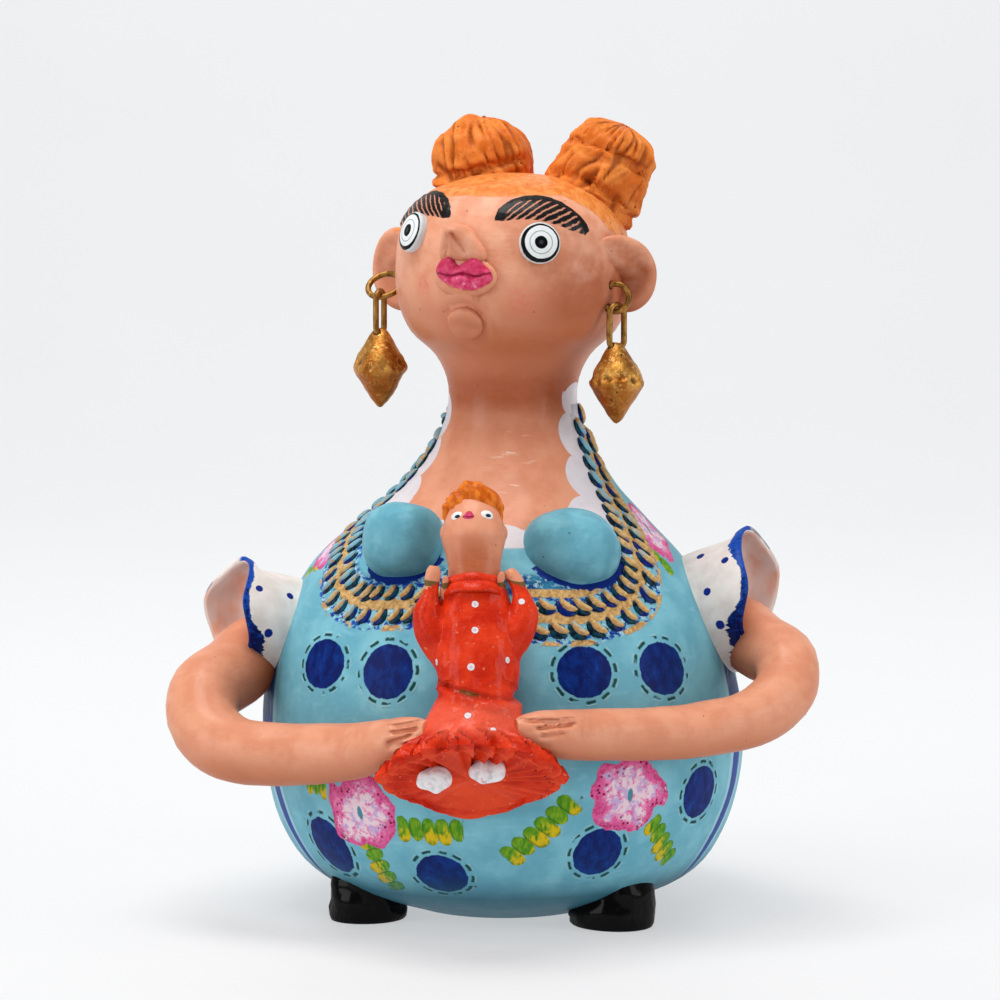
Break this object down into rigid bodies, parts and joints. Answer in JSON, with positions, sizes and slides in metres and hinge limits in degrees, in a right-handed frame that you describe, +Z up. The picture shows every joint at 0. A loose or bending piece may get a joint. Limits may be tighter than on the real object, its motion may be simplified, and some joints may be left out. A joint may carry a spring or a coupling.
{
  "type": "ceramic folk figurine",
  "caption": "Round-bellied woman in a spotted dress who holds a small child, with buns of hair and hanging clay earrings.",
  "frame": {"origin": "centre of the flat disc on which the figurine stands", "axes": "+Z up through the body, the woman's front towards -Y, +X to the right as the front is seen"},
  "size_m": [0.159, 0.1465, 0.1983],
  "materials": {
    "painted_ceramic": "painted clay under a thin satin varnish",
    "gold_wire": "dull gold wire",
    "gold_clay": "clay with rubbed gold paint"
  },
  "bodies": {
    "root": {"figurine": "painted_ceramic", "right_ear_hoop": "gold_wire", "right_ear_link": "gold_wire", "right_ear_drop": "gold_clay", "left_ear_hoop": "gold_wire", "left_ear_link": "gold_wire", "left_ear_drop": "gold_clay"}
  },
  "joints": []
}
